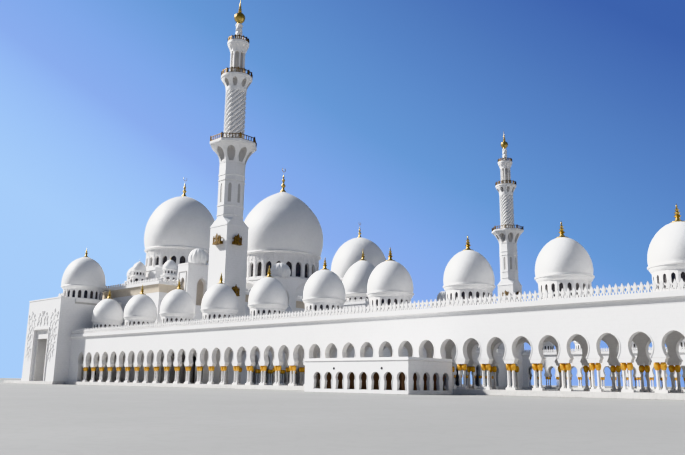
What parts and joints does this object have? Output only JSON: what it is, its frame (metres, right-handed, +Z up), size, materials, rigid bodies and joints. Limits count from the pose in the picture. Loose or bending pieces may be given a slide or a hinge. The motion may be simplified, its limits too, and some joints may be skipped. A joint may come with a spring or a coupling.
{
  "type": "scale model of a mosque building at 1:10",
  "caption": "Domed mosque with a courtyard inside horseshoe arcades, a prayer hall under three great domes, and tall minarets at the corners of the court.",
  "frame": {"origin": "middle of the footprint, on the ground", "axes": "+Z up, -Y the way the front portal looks, +Y towards the prayer hall; the building mirrors about X = 0"},
  "size_m": [19.74, 23.06, 10.67],
  "materials": {
    "marble": "honed white marble and white plaster",
    "pale_stone": "matt pale stone steps and floors",
    "gilding": "polished gold leaf"
  },
  "bodies": {
    "root": {"centre_dome": "marble", "centre_dome_base": "marble", "centre_dome_finial": "gilding", "centre_drum": "marble", "entrance_block": "marble", "front_court_wall": "marble", "front_floor": "pale_stone", "front_left_minaret_finial": "gilding", "front_left_minaret_shaft": "marble", "front_left_minaret_tower": "marble", "front_portal": "marble", "front_right_minaret_finial": "gilding", "front_right_minaret_shaft": "marble", "front_right_minaret_tower": "marble", "front_roof": "marble", "front_wall_left": "marble", "front_wall_right": "marble", "hall_back_wall": "marble", "hall_floor": "pale_stone", "hall_front_wall": "marble", "hall_left_wall": "marble", "hall_right_wall": "marble", "hall_roof": "marble", "hall_roof_left": "marble", "hall_roof_right": "marble", "left_court_wall": "marble", "left_dome": "marble", "left_dome_base": "marble", "left_dome_finial": "gilding", "left_drum": "marble", "left_floor": "pale_stone", "left_inner_tower": "marble", "left_low_wing": "marble", "left_outer_tower": "marble", "left_portal": "marble", "left_roof": "marble", "left_wall": "marble", "left_wall_bay": "marble", "rear_court_wall": "marble", "rear_left_minaret_finial": "gilding", "rear_left_minaret_shaft": "marble", "rear_left_minaret_tower": "marble", "rear_right_minaret_finial": "gilding", "rear_right_minaret_shaft": "marble", "rear_right_minaret_tower": "marble", "rear_roof": "marble", "right_court_wall": "marble", "right_dome": "marble", "right_dome_base": "marble", "right_dome_finial": "gilding", "right_drum": "marble", "right_floor": "pale_stone", "right_inner_tower": "marble", "right_low_wing": "marble", "right_outer_tower": "marble", "right_portal": "marble", "right_roof": "marble", "right_wall": "marble"}
  },
  "joints": []
}
